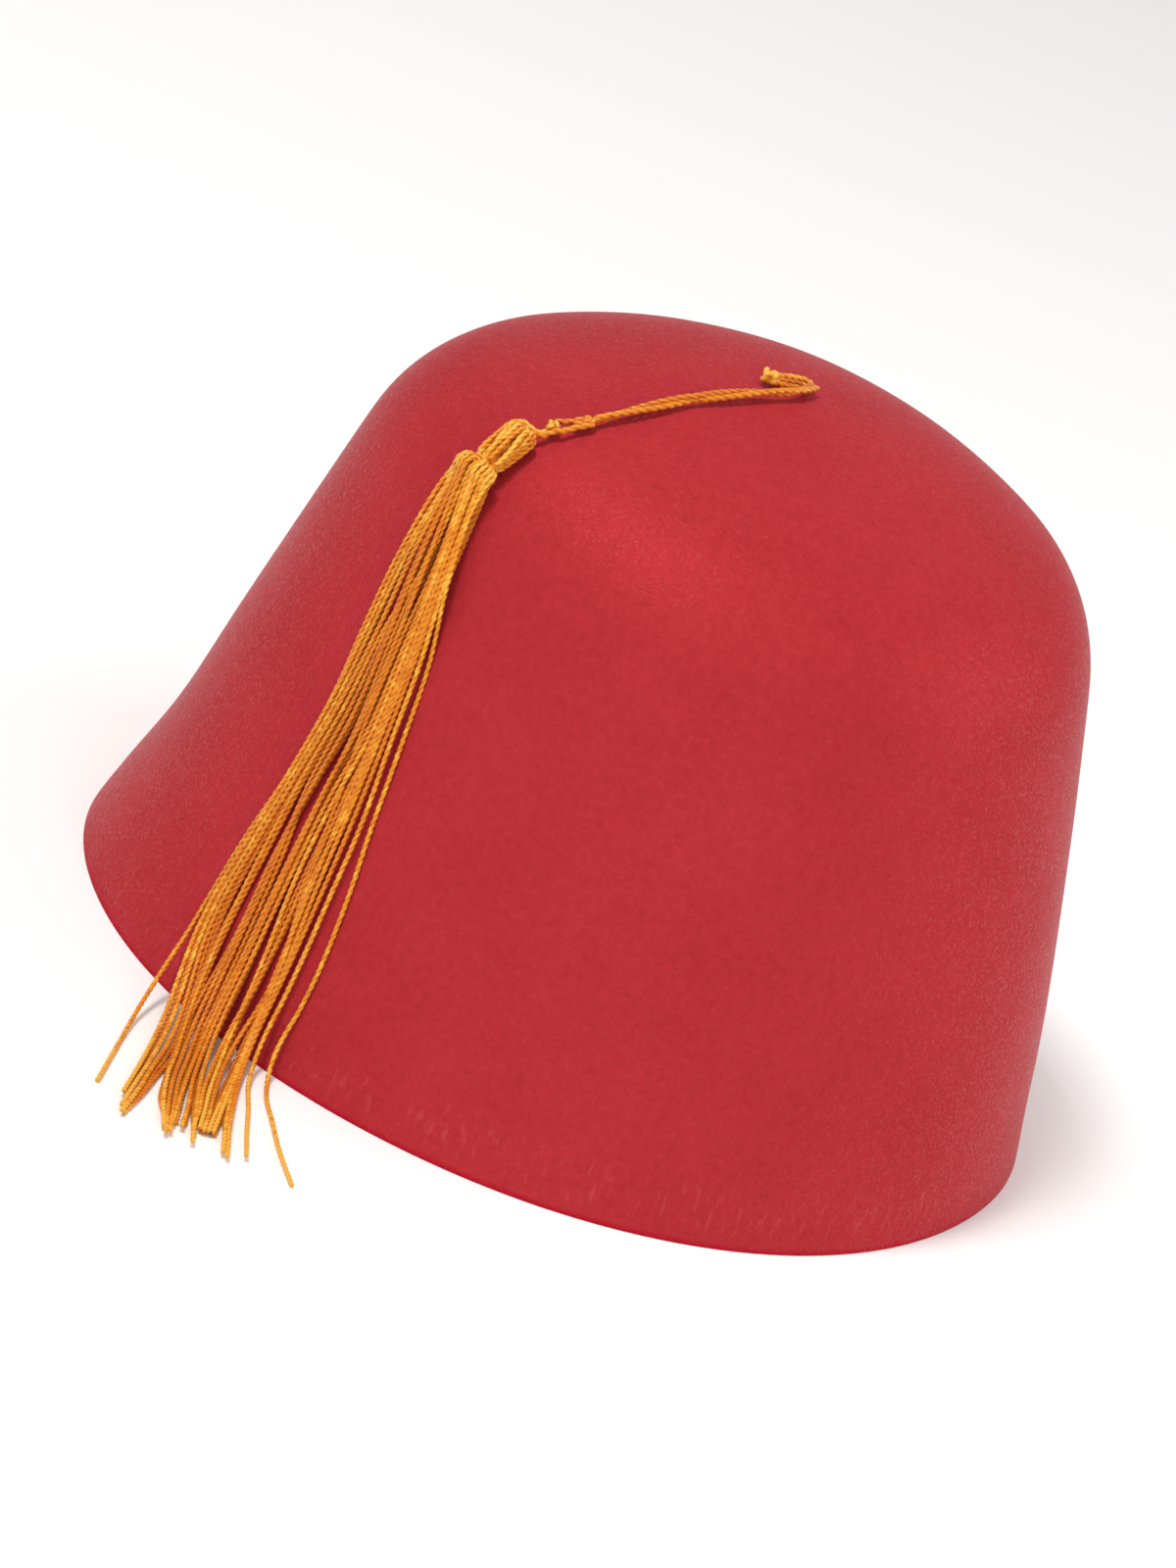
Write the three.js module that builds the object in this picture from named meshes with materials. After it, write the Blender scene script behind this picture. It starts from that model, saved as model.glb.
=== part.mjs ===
// A felt fez with a gold tassel, in millimetres, +Z up. The hat stands on its rim: the
// origin is the middle of the rim's plane, the front faces -Y and +X is the wearer's left.
//
// One moulded felt shell makes the hat. A doubled cord is tacked down close to the middle
// of the top, its short knotted tail turned back beside it. The cord runs over the shoulder
// to the tassel's wrapped head, and the skirt of strands hangs from the head's bound neck,
// down the wall and out over the surface that the hat stands on.

import * as THREE from 'three';

// Felt shell
const rimRadius = 95; // outside, at the cut edge
const wallLean = THREE.MathUtils.degToRad( 13.9 ); // from upright, inwards
const shoulderRadius = 35; // rounding between the wall and the top
const domeRadius = 112; // low dome of the top
const crownHeight = 130;
const feltThickness = 2;

// Tassel
const cordDiameter = 2.4; // two twisted plies lying together
const tailDiameter = 2.2;
const tailKnotRadius = 1.9;
const headLength = 8;
const headRadius = 3.1;
const bindingLength = 1.2;
const bindingRadius = 2.6;
const gap = 0.3; // between pieces that touch
const feltGap = 0.45; // between the felt's facets and what lies on them

// Facets
const shellSegments = 72;
const cordSides = 8;
const skirtSides = 20;

// Where the soft felt is out of round. Azimuth is in degrees from the front, + towards +X,
// and push is how far the wall stands out, fading over spread degrees and reach millimetres.
const dents = [
	{ name: 'rim pulled out on the right', azimuth: - 95, height: 2, spread: 30, reach: 9, push: 1.0 },
	{ name: 'hollow above that rim', azimuth: - 95, height: 28, spread: 30, reach: 12, push: - 1.2 },
	{ name: 'rim pressed in at the front left', azimuth: 60, height: 0, spread: 25, reach: 14, push: - 3.0 },
	{ name: 'full shoulder at the back right', azimuth: - 110, height: 106, spread: 30, reach: 16, push: 0.7 },
	{ name: 'slack shoulder on the left', azimuth: 100, height: 98, spread: 30, reach: 18, push: - 0.9 },
];

// Route of the cord over the top and shoulder, from the tacked end to the head.
// x and y are the place on the felt, and lift is the cord's own height over it.
const cordRoute = [
	{ x: 2.8, y: - 6.0, lift: 1.7 },
	{ x: 0.6, y: - 10.6, lift: 1.7 },
	{ x: - 2.2, y: - 13.8, lift: 1.7 },
	{ x: - 5.4, y: - 16.5, lift: 1.7 },
	{ x: - 8.6, y: - 19.2, lift: 1.7 },
	{ x: - 12.0, y: - 22.1, lift: 1.7 },
	{ x: - 15.4, y: - 24.8, lift: 1.7 },
	{ x: - 18.6, y: - 27.3, lift: 1.7 },
	{ x: - 21.6, y: - 29.9, lift: 1.7 },
	{ x: - 24.5, y: - 32.2, lift: 1.7 },
	{ x: - 27.4, y: - 34.4, lift: 1.7 },
	{ x: - 30.2, y: - 36.4, lift: 1.7 },
	{ x: - 33.0, y: - 38.2, lift: 1.7 },
	{ x: - 35.6, y: - 39.7, lift: 1.8 },
	{ x: - 38.0, y: - 41.1, lift: 2.2 },
	{ x: - 40.1, y: - 42.3, lift: 3.0 },
];
const tailRoute = [
	{ x: 2.9, y: - 3.1, lift: 1.6 },
	{ x: 1.0, y: - 3.6, lift: 1.7 },
	{ x: - 1.4, y: - 4.3, lift: 1.9 },
	{ x: - 3.6, y: - 5.3, lift: 2.1 },
];
const tailKnotPlace = { x: - 6.1, y: - 6.8, lift: 2.5 };

// Head of the tassel: where its axis starts and ends, and its outline along the axis.
const headStart = { x: - 41.1, y: - 42.8, lift: 3.6 };
const headEnd = { x: - 45.1, y: - 47.2, lift: 3.6 };
const headOutline = [
	{ along: 0, radius: 1.7 },
	{ along: 0.5, radius: 2.6 },
	{ along: 1.8, radius: headRadius },
	{ along: 5.6, radius: headRadius },
	{ along: 7.2, radius: 2.9 },
	{ along: headLength, radius: 2.3 },
];

// Outer form of the skirt, a row for each section. On the wall, down is the distance over
// the felt from the middle of the top. On the floor, turn and pitch are the directions of
// the section's width and of its outer side, in degrees.
const skirtOnWall = [
	{ azimuth: - 43.8, down: 72.9, width: 7.0, thick: 5.2 },
	{ azimuth: - 43.7, down: 73.9, width: 8.9, thick: 6.4 },
	{ azimuth: - 43.0, down: 80, width: 10.6, thick: 6.4 },
	{ azimuth: - 42.1, down: 90, width: 14.0, thick: 6.0 },
	{ azimuth: - 41.2, down: 104, width: 17.0, thick: 5.6 },
	{ azimuth: - 40.0, down: 120, width: 20.5, thick: 5.2 },
	{ azimuth: - 38.8, down: 137, width: 23.0, thick: 4.8 },
	{ azimuth: - 37.6, down: 153, width: 24.8, thick: 4.6 },
	{ azimuth: - 36.4, down: 166, width: 25.6, thick: 4.4 },
	{ azimuth: - 35.6, down: 175, width: 25.8, thick: 4.2 },
];
const skirtOnFloor = [
	{ x: - 56.8, y: - 79.6, rise: 3.2, turn: - 30, pitch: 42, width: 25.6, thick: 4.2 },
	{ x: - 57.8, y: - 84.2, rise: 0.6, turn: - 22, pitch: 72, width: 25.0, thick: 4.2 },
	{ x: - 57.2, y: - 90.0, rise: 0.2, turn: - 12, pitch: 90, width: 24.4, thick: 4.0 },
	{ x: - 55.8, y: - 99.0, rise: 0.2, turn: - 3, pitch: 90, width: 24.0, thick: 3.6 },
	{ x: - 54.8, y: - 109.0, rise: 0.2, turn: 3, pitch: 90, width: 24.0, thick: 3.2 },
	{ x: - 53.8, y: - 118.0, rise: 0.2, turn: 5, pitch: 90, width: 23.4, thick: 2.8 },
	{ x: - 53.4, y: - 123.0, rise: 0.2, turn: 5, pitch: 90, width: 20.0, thick: 2.2 },
];

// ---- The felt's outline -----------------------------------------------------------------

const domeCentre = crownHeight - domeRadius;
const wallNormal = new THREE.Vector2( Math.cos( wallLean ), Math.sin( wallLean ) );
const wallDown = new THREE.Vector2( Math.sin( wallLean ), - Math.cos( wallLean ) );

// The shoulder's centre is a shoulder radius inside both the wall and the dome.
function shoulderCentre() {

	const start = new THREE.Vector2( rimRadius, 0 ).addScaledVector( wallNormal, - shoulderRadius );
	const fromDome = new THREE.Vector2( start.x, start.y - domeCentre );
	const along = - fromDome.dot( wallDown );
	const reach = ( domeRadius - shoulderRadius ) ** 2 - fromDome.lengthSq() + along ** 2;
	return start.addScaledVector( wallDown, along - Math.sqrt( reach ) );

}

const shoulder = shoulderCentre();
const domeAngle = Math.atan2( shoulder.x, shoulder.y - domeCentre );
const domeRun = domeRadius * domeAngle;
const shoulderRun = shoulderRadius * ( Math.PI / 2 - wallLean - domeAngle );
const wallTop = shoulder.clone().addScaledVector( wallNormal, shoulderRadius );
const wallRun = wallTop.y / Math.cos( wallLean );

// A point of the outline, as radius and height, at a distance from the middle of the top.
// lift moves it off the outer surface, and a negative lift goes into the felt.
function outlineAt( down, lift = 0 ) {

	if ( down > domeRun + shoulderRun ) {

		const point = wallTop.clone().addScaledVector( wallDown, down - domeRun - shoulderRun );
		return { point: point.addScaledVector( wallNormal, lift ), normal: wallNormal };

	}

	const onDome = down <= domeRun;
	const angle = onDome ? down / domeRadius : domeAngle + ( down - domeRun ) / shoulderRadius;
	const normal = new THREE.Vector2( Math.sin( angle ), Math.cos( angle ) );
	const centre = onDome ? new THREE.Vector2( 0, domeCentre ) : shoulder;
	const radius = ( onDome ? domeRadius : shoulderRadius ) + lift;
	return { point: centre.clone().addScaledVector( normal, radius ), normal };

}

function pushAt( azimuth, height ) {

	let push = 0;
	for ( const dent of dents ) {

		const turn = THREE.MathUtils.euclideanModulo( azimuth - dent.azimuth + 180, 360 ) - 180;
		push += dent.push * Math.exp( - 0.5 * ( turn / dent.spread ) ** 2 )
			* Math.exp( - 0.5 * ( ( height - dent.height ) / dent.reach ) ** 2 );

	}

	return push;

}

function aroundAxis( azimuth, radius, height ) {

	const angle = THREE.MathUtils.degToRad( azimuth );
	return new THREE.Vector3( radius * Math.sin( angle ), - radius * Math.cos( angle ), height );

}

// A place on the felt, with the felt's outward direction there.
function onFelt( azimuth, down, lift ) {

	const { point, normal } = outlineAt( down, lift );
	const radius = point.x + pushAt( azimuth, point.y );
	return { point: aroundAxis( azimuth, radius, point.y ), normal: aroundAxis( azimuth, normal.x, normal.y ) };

}

// The distance from the middle of the top at which the outline has a given radius.
function downToRadius( radius ) {

	if ( radius <= domeRadius * Math.sin( domeAngle ) ) return domeRadius * Math.asin( radius / domeRadius );
	const angle = Math.asin( ( radius - shoulder.x ) / shoulderRadius );
	return domeRun + shoulderRadius * ( angle - domeAngle );

}

function overFelt( { x, y, lift } ) {

	const azimuth = THREE.MathUtils.radToDeg( Math.atan2( x, - y ) );
	return onFelt( azimuth, downToRadius( Math.hypot( x, y ) ), lift ).point;

}

// ---- Shapes -----------------------------------------------------------------------------

// One side of the felt, from the middle of the top to the rim.
function feltSide( lift ) {

	const rows = [ [ 0, domeRun, 7 ], [ domeRun, shoulderRun, 7 ], [ domeRun + shoulderRun, 0, 12 ] ];
	rows[ 2 ][ 1 ] = ( wallTop.y + lift * wallNormal.y ) / Math.cos( wallLean );
	const points = [ new THREE.Vector2( 0, crownHeight + lift ) ];
	for ( const [ start, run, steps ] of rows ) {

		for ( let step = 1; step <= steps; step ++ ) {

			points.push( outlineAt( start + run * step / steps, lift ).point );

		}

	}

	points[ points.length - 1 ].y = 0;
	return points;

}

function feltShell() {

	const outline = [ ...feltSide( - feltThickness ), ...feltSide( 0 ).reverse() ];
	const geometry = new THREE.LatheGeometry( outline, shellSegments );
	geometry.rotateX( Math.PI / 2 );
	const position = geometry.attributes.position;
	for ( let i = 0; i < position.count; i ++ ) {

		const x = position.getX( i );
		const y = position.getY( i );
		const radius = Math.hypot( x, y );
		if ( radius < 1e-6 ) continue;
		const azimuth = THREE.MathUtils.radToDeg( Math.atan2( x, - y ) );
		const stretch = ( radius + pushAt( azimuth, position.getZ( i ) ) ) / radius;
		position.setXY( i, x * stretch, y * stretch );

	}

	return geometry;

}

function tube( points, diameter, steps ) {

	const section = new THREE.Shape();
	for ( let side = 0; side < cordSides; side ++ ) {

		const angle = 2 * Math.PI * side / cordSides;
		const x = diameter / 2 * Math.cos( angle );
		const y = diameter / 2 * Math.sin( angle );
		if ( side === 0 ) section.moveTo( x, y );
		else section.lineTo( x, y );

	}

	const path = new THREE.CatmullRomCurve3( points );
	return new THREE.ExtrudeGeometry( section, { steps, bevelEnabled: false, extrudePath: path } );

}

// A turned piece whose axis runs from one point towards another.
function turned( outline, from, towards, start = 0 ) {

	const points = outline.map( ( { along, radius } ) => new THREE.Vector2( radius, along ) );
	points.unshift( new THREE.Vector2( 0, points[ 0 ].y ) );
	points.push( new THREE.Vector2( 0, points[ points.length - 1 ].y ) );
	const geometry = new THREE.LatheGeometry( points, 16 );
	const direction = towards.clone().sub( from ).normalize();
	const turn = new THREE.Quaternion().setFromUnitVectors( new THREE.Vector3( 0, 1, 0 ), direction );
	geometry.applyQuaternion( turn );
	geometry.translate( ...from.clone().addScaledVector( direction, start ).toArray() );
	return geometry;

}

// A solid through a row of closed rings, with a flat end on the first and the last.
function loft( rings ) {

	const sides = rings[ 0 ].length;
	const points = rings.flat();
	const faces = [];
	const middle = ( ring ) => ring.reduce( ( sum, point ) => sum.add( point ), new THREE.Vector3() )
		.divideScalar( sides );
	const last = ( rings.length - 1 ) * sides;
	const firstMiddle = points.push( middle( rings[ 0 ] ) ) - 1;
	const lastMiddle = points.push( middle( rings[ rings.length - 1 ] ) ) - 1;
	for ( let side = 0; side < sides; side ++ ) {

		const next = ( side + 1 ) % sides;
		for ( let start = 0; start < last; start += sides ) {

			const [ a, b ] = [ start + side, start + next ];
			faces.push( a, b, b + sides, a, b + sides, a + sides );

		}

		faces.push( firstMiddle, next, side );
		faces.push( lastMiddle, last + side, last + next );

	}

	const geometry = new THREE.BufferGeometry().setFromPoints( points );
	geometry.setIndex( faces );
	geometry.computeVertexNormals();
	return geometry;

}

// An oval section that lies on a surface, or bends round a wall of the given radius.
function skirtSection( base, across, outwards, { width, thick }, wallRadius = Infinity ) {

	const ring = [];
	for ( let side = 0; side < skirtSides; side ++ ) {

		const angle = 2 * Math.PI * side / skirtSides;
		const sideways = width / 2 * Math.cos( angle );
		const out = thick / 2 * ( 1 + Math.sin( angle ) ) - sideways ** 2 / ( 2 * wallRadius );
		ring.push( base.clone().addScaledVector( across, sideways ).addScaledVector( outwards, out ) );

	}

	return ring;

}

function tasselSkirt() {

	const rings = [];
	for ( const row of skirtOnWall ) {

		const { point, normal } = onFelt( row.azimuth, row.down, feltGap );
		const across = aroundAxis( row.azimuth + 90, 1, 0 );
		rings.push( skirtSection( point, across, normal, row, Math.hypot( point.x, point.y ) ) );

	}

	for ( const row of skirtOnFloor ) {

		const pitch = THREE.MathUtils.degToRad( row.pitch );
		const outwards = aroundAxis( row.turn, Math.cos( pitch ), Math.sin( pitch ) );
		const across = aroundAxis( row.turn + 90, 1, 0 );
		rings.push( skirtSection( new THREE.Vector3( row.x, row.y, row.rise ), across, outwards, row ) );

	}

	return loft( rings );

}

// ---- The hat ----------------------------------------------------------------------------

const felt = { color: 0xb92f38, roughness: 0.95, metalness: 0 };
const rayon = { color: 0xe8961f, roughness: 0.45, metalness: 0 };

const hat = new THREE.Group();

function add( name, geometry, finish ) {

	const mesh = new THREE.Mesh( geometry, new THREE.MeshStandardMaterial( finish ) );
	mesh.name = name;
	hat.add( mesh );

}

const headTop = overFelt( headStart );
const headFoot = overFelt( headEnd );
const binding = [
	{ along: 0, radius: bindingRadius - 0.3 },
	{ along: 0.3, radius: bindingRadius },
	{ along: bindingLength - 0.3, radius: bindingRadius },
	{ along: bindingLength, radius: bindingRadius - 0.3 },
];
const tail = tailRoute.map( overFelt );
const knotOutline = [];
for ( let step = 1; step < 8; step ++ ) {

	const angle = Math.PI * step / 8;
	const along = tailKnotRadius * ( 1 - Math.cos( angle ) );
	knotOutline.push( { along, radius: tailKnotRadius * Math.sin( angle ) } );

}

add( 'felt_crown', feltShell(), felt );
add( 'cord_tail', tube( tail, tailDiameter, 4 ), rayon );
add( 'tail_knot', turned( knotOutline, tail[ tail.length - 1 ], overFelt( tailKnotPlace ), gap ), rayon );
add( 'tassel_cord', tube( cordRoute.map( overFelt ), cordDiameter, 18 ), rayon );
add( 'tassel_head', turned( headOutline, headTop, headFoot ), rayon );
add( 'neck_binding', turned( binding, headTop, headFoot, headLength + gap ), rayon );
add( 'tassel_skirt', tasselSkirt(), rayon );

export default hat;
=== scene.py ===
import math
import random

import bpy
from mathutils import Matrix, Vector


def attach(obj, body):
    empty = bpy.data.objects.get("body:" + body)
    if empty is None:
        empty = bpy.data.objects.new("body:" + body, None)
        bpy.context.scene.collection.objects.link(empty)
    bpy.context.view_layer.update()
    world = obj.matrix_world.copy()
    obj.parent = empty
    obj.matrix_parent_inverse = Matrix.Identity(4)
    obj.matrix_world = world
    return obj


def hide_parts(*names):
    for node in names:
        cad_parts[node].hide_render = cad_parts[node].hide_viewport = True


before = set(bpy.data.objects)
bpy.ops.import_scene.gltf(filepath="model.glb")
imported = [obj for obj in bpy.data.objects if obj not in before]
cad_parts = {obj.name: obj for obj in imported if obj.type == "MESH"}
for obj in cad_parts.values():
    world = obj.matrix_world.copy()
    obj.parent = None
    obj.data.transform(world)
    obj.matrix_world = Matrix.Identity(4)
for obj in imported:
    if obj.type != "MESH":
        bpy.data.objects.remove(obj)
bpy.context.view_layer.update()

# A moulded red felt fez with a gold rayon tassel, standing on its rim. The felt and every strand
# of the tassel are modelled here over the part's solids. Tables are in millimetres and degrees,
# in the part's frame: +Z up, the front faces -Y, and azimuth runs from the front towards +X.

MM = 0.001
SEED = 31
chance = random.Random(SEED)


# ---- Camera ---------------------------------------------------------------------------------

CAMERA_TARGET = (-9.3, 0.0, 40.4)
CAMERA_DISTANCE = 1076.0
CAMERA_ELEVATION = math.radians(21.6)
CAMERA_ROLL = math.radians(21.8)
CAMERA_LENS = 131.1
SENSOR_WIDTH = 36.0


def add_camera():
    """A long lens in front of the hat and above it, rolled so that the hat leans to the right."""
    right = Vector((1, 0, 0))
    back = Vector((0, -math.cos(CAMERA_ELEVATION), math.sin(CAMERA_ELEVATION)))
    up = back.cross(right)
    turned_right = right * math.cos(CAMERA_ROLL) + up * math.sin(CAMERA_ROLL)
    turned_up = up * math.cos(CAMERA_ROLL) - right * math.sin(CAMERA_ROLL)
    matrix = Matrix((turned_right, turned_up, back)).transposed().to_4x4()
    matrix.translation = (Vector(CAMERA_TARGET) + back * CAMERA_DISTANCE) * MM
    lens = bpy.data.cameras.new("camera")
    lens.lens = CAMERA_LENS
    lens.sensor_width = SENSOR_WIDTH
    camera = bpy.data.objects.new("camera", lens)
    bpy.context.scene.collection.objects.link(camera)
    camera.matrix_world = matrix
    bpy.context.scene.camera = camera


# ---- The felt's outline ---------------------------------------------------------------------

RIM_RADIUS = 95.0
WALL_LEAN = math.radians(13.9)
SHOULDER_RADIUS = 35.0
DOME_RADIUS = 112.0
CROWN_HEIGHT = 130.0
FELT_THICKNESS = 2.0

# Where the soft felt is out of round: how far it stands out, fading over spread and reach.
DENTS = [
    dict(azimuth=-95, height=2, spread=30, reach=9, push=1.0),
    dict(azimuth=-95, height=28, spread=30, reach=12, push=-1.2),
    dict(azimuth=60, height=0, spread=25, reach=14, push=-3.0),
    dict(azimuth=-110, height=106, spread=30, reach=16, push=0.7),
    dict(azimuth=100, height=98, spread=30, reach=18, push=-0.9),
]

DOME_CENTRE = CROWN_HEIGHT - DOME_RADIUS
WALL_NORMAL = Vector((math.cos(WALL_LEAN), math.sin(WALL_LEAN)))
WALL_DOWN = Vector((math.sin(WALL_LEAN), -math.cos(WALL_LEAN)))


def shoulder_centre():
    """A shoulder radius inside both the wall and the dome."""
    start = Vector((RIM_RADIUS, 0)) - WALL_NORMAL * SHOULDER_RADIUS
    from_dome = start - Vector((0, DOME_CENTRE))
    along = -from_dome.dot(WALL_DOWN)
    reach = (DOME_RADIUS - SHOULDER_RADIUS) ** 2 - from_dome.length_squared + along ** 2
    return start + WALL_DOWN * (along - math.sqrt(reach))


SHOULDER = shoulder_centre()
DOME_ANGLE = math.atan2(SHOULDER.x, SHOULDER.y - DOME_CENTRE)
DOME_RUN = DOME_RADIUS * DOME_ANGLE
SHOULDER_RUN = SHOULDER_RADIUS * (math.pi / 2 - WALL_LEAN - DOME_ANGLE)
WALL_TOP = SHOULDER + WALL_NORMAL * SHOULDER_RADIUS
WALL_RUN = WALL_TOP.y / math.cos(WALL_LEAN)
RIM_DOWN = DOME_RUN + SHOULDER_RUN + WALL_RUN


def outline_at(down, lift=0.0):
    """Radius and height of the outline, and its normal, at a distance from the top's middle."""
    if down > DOME_RUN + SHOULDER_RUN:
        along = down - DOME_RUN - SHOULDER_RUN
        return WALL_TOP + WALL_DOWN * along + WALL_NORMAL * lift, WALL_NORMAL
    on_dome = down <= DOME_RUN
    angle = down / DOME_RADIUS if on_dome else DOME_ANGLE + (down - DOME_RUN) / SHOULDER_RADIUS
    normal = Vector((math.sin(angle), math.cos(angle)))
    centre = Vector((0, DOME_CENTRE)) if on_dome else SHOULDER
    radius = (DOME_RADIUS if on_dome else SHOULDER_RADIUS) + lift
    return centre + normal * radius, normal


def push_at(azimuth, height):
    push = 0.0
    for dent in DENTS:
        turn = (azimuth - dent["azimuth"] + 180) % 360 - 180
        push += (dent["push"] * math.exp(-0.5 * (turn / dent["spread"]) ** 2)
                 * math.exp(-0.5 * ((height - dent["height"]) / dent["reach"]) ** 2))
    return push


def around_axis(azimuth, radius, height):
    angle = math.radians(azimuth)
    return Vector((radius * math.sin(angle), -radius * math.cos(angle), height))


def on_felt(azimuth, down, lift):
    """A place on the felt in millimetres, lifted off its surface."""
    point, _ = outline_at(down, lift)
    return around_axis(azimuth, point.x + push_at(azimuth, point.y), point.y)


def felt_normal(azimuth, down):
    _, normal = outline_at(down)
    return around_axis(azimuth, normal.x, normal.y)


def down_to_radius(radius):
    if radius <= DOME_RADIUS * math.sin(DOME_ANGLE):
        return DOME_RADIUS * math.asin(radius / DOME_RADIUS)
    angle = math.asin((radius - SHOULDER.x) / SHOULDER_RADIUS)
    return DOME_RUN + SHOULDER_RADIUS * (angle - DOME_ANGLE)


def over_felt(x, y, lift):
    """The point over (x, y) of the top, lifted off the felt."""
    return on_felt(math.degrees(math.atan2(x, -y)), down_to_radius(math.hypot(x, y)), lift)


# ---- Small helpers --------------------------------------------------------------------------

def deselect_all():
    bpy.ops.object.select_all(action="DESELECT")


def make_active(piece):
    deselect_all()
    piece.select_set(True)
    bpy.context.view_layer.objects.active = piece


def apply_modifier(piece, kind, **settings):
    make_active(piece)
    modifier = piece.modifiers.new(kind.lower(), kind)
    for name, value in settings.items():
        setattr(modifier, name, value)
    bpy.ops.object.modifier_apply(modifier=modifier.name)


def smooth_path(points, step):
    """A curve through the points, as points about a step apart. Each point's tangent weighs its
    two sides by their lengths, so that uneven spacing makes no loops."""
    tangents = []
    for index, point in enumerate(points):
        before, after = points[max(index - 1, 0)], points[min(index + 1, len(points) - 1)]
        back, ahead = max((point - before).length, 1e-6), max((after - point).length, 1e-6)
        slope = (point - before) / back * ahead + (after - point) / ahead * back
        tangents.append(slope / (back + ahead) if 0 < index < len(points) - 1
                        else (after - before).normalized())
    path = []
    for start, end, leave, arrive in zip(points, points[1:], tangents, tangents[1:]):
        span = (end - start).length
        count = max(2, round(span / step))
        for index in range(count):
            t = index / count
            path.append(start * (2 * t ** 3 - 3 * t ** 2 + 1) + end * (3 * t ** 2 - 2 * t ** 3)
                        + leave * span * (t ** 3 - 2 * t ** 2 + t)
                        + arrive * span * (t ** 3 - t ** 2))
    path.append(points[-1].copy())
    return path


def bezier_path(start, leave, arrive, end, count):
    """Points of one bezier arc between two points, without its ends."""
    points = []
    for index in range(1, count):
        t = index / count
        points.append(start * (1 - t) ** 3 + leave * (3 * t * (1 - t) ** 2)
                      + arrive * (3 * t ** 2 * (1 - t)) + end * t ** 3)
    return points


def path_length(path):
    return sum((b - a).length for a, b in zip(path, path[1:]))


def finish_piece(piece, node_name):
    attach(piece, "root")
    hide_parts(node_name)


# ---- Materials ------------------------------------------------------------------------------

# How fine each noise is, in grains to the metre.
CLOUD_GRAINS = 45.0        # clouds in the dye, 22 mm across
CLUMP_GRAINS = 620.0       # clumps of fibre, drawn 1.6 mm across so that they show
STREAK_GRAINS = 900.0      # brushed streaks, 1.1 mm wide
FIBRE_GRAINS = 1500.0      # tufts of fibre, drawn 0.7 mm across so that they show
DRIFT_GRAINS = 650.0       # brighter dashes on a strand, 1.5 mm long
FILAMENT_GRAINS = 2600.0   # filaments, drawn 0.4 mm across


def linear(hex_colour):
    """An sRGB hex colour as linear red, green, blue and alpha."""
    values = [int(hex_colour[i:i + 2], 16) / 255 for i in (1, 3, 5)]
    return (*(v / 12.92 if v <= 0.04045 else ((v + 0.055) / 1.055) ** 2.4 for v in values), 1.0)


def node(tree, kind, settings=None, inputs=None, **links):
    """Adds a node with its settings, its socket values and its links (socket=(node, output)).
    Where sockets share a name, a link goes by its number, so _6 and _7 are a mix's colours."""
    made = tree.nodes.new("ShaderNode" + kind)
    for name, value in (settings or {}).items():
        setattr(made, name, value)
    for name, value in (inputs or {}).items():
        made.inputs[name].default_value = value
    for name, (source, output) in links.items():
        socket = int(name[1:]) if name[1:].isdigit() else name.replace("_", " ")
        tree.links.new(source.outputs[output], made.inputs[socket])
    return made


def new_material(name, **shader_values):
    material = bpy.data.materials.new(name)
    material.use_nodes = True
    shader = material.node_tree.nodes["Principled BSDF"]
    for socket, value in shader_values.items():
        shader.inputs[socket.replace("_", " ")].default_value = value
    return material, material.node_tree, shader


def colour_ramp(tree, stops, **links):
    ramp = node(tree, "ValToRGB", **links)
    elements = ramp.color_ramp.elements
    while len(elements) < len(stops):
        elements.new(0.5)
    for element, (position, colour) in zip(elements, stops):
        element.position = position
        element.color = linear(colour)
    return ramp


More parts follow.
